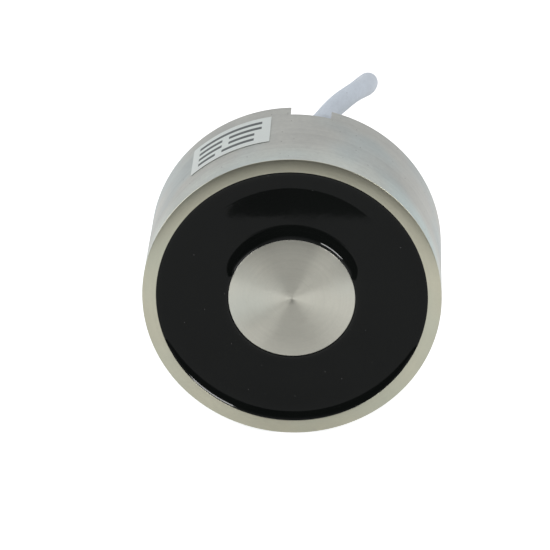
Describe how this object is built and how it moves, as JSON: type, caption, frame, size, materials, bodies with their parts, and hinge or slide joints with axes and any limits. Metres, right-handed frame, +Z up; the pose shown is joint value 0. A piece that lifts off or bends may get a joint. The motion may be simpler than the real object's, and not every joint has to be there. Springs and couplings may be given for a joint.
{
  "type": "holding electromagnet",
  "caption": "Round steel pot electromagnet with a centre pole, resin-sealed coil and side lead, which holds a door or lock shut by magnetic pull while it is powered.",
  "frame": {"origin": "the point on the floor under the middle of the magnet, which stands on its rim", "axes": "+Z up; the magnet's axis runs along Y at a height of 40 mm, with the pole face towards -Y and the mounting face towards +Y"},
  "size_m": [0.082, 0.1191, 0.0801],
  "materials": {
    "zinc_plated_steel": "satin zinc-plated turned steel",
    "turned_steel": "finely faced turned steel",
    "black_resin": "glossy cast epoxy",
    "printed_film": "thin satin silver film with dark print",
    "bobbin_nylon": "natural moulded nylon",
    "enamelled_copper": "enamelled copper wire",
    "polyester_tape": "thin yellow polyester tape",
    "pressboard": "pressed insulation board",
    "brown_insulation": "brown PVC",
    "blue_insulation": "blue PVC",
    "black_sleeve": "heat-shrink sleeve",
    "grey_jacket": "smooth light grey PVC jacket",
    "black_nylon": "moulded black nylon strap",
    "tinned_ferrule": "tinned copper pin with a grey plastic collar"
  },
  "bodies": {
    "root": {"pot_housing": "zinc_plated_steel", "pole_core": "turned_steel", "resin_ring": "black_resin", "rating_label": "printed_film", "bobbin": "bobbin_nylon", "copper_winding": "enamelled_copper", "winding_tape": "polyester_tape", "insulation_washer": "pressboard", "slot_potting": "black_resin", "inner_lead_brown": "brown_insulation", "inner_lead_blue": "blue_insulation", "splice_sleeve_brown": "black_sleeve", "splice_sleeve_blue": "black_sleeve", "winding_start_wire": "enamelled_copper", "winding_finish_wire": "enamelled_copper", "cable_lead": "grey_jacket", "cable_coil": "grey_jacket", "coil_tie": "black_nylon", "cable_tail": "grey_jacket", "lead_end_brown": "brown_insulation", "lead_end_blue": "blue_insulation", "ferrule_brown": "tinned_ferrule", "ferrule_blue": "tinned_ferrule"}
  },
  "joints": []
}
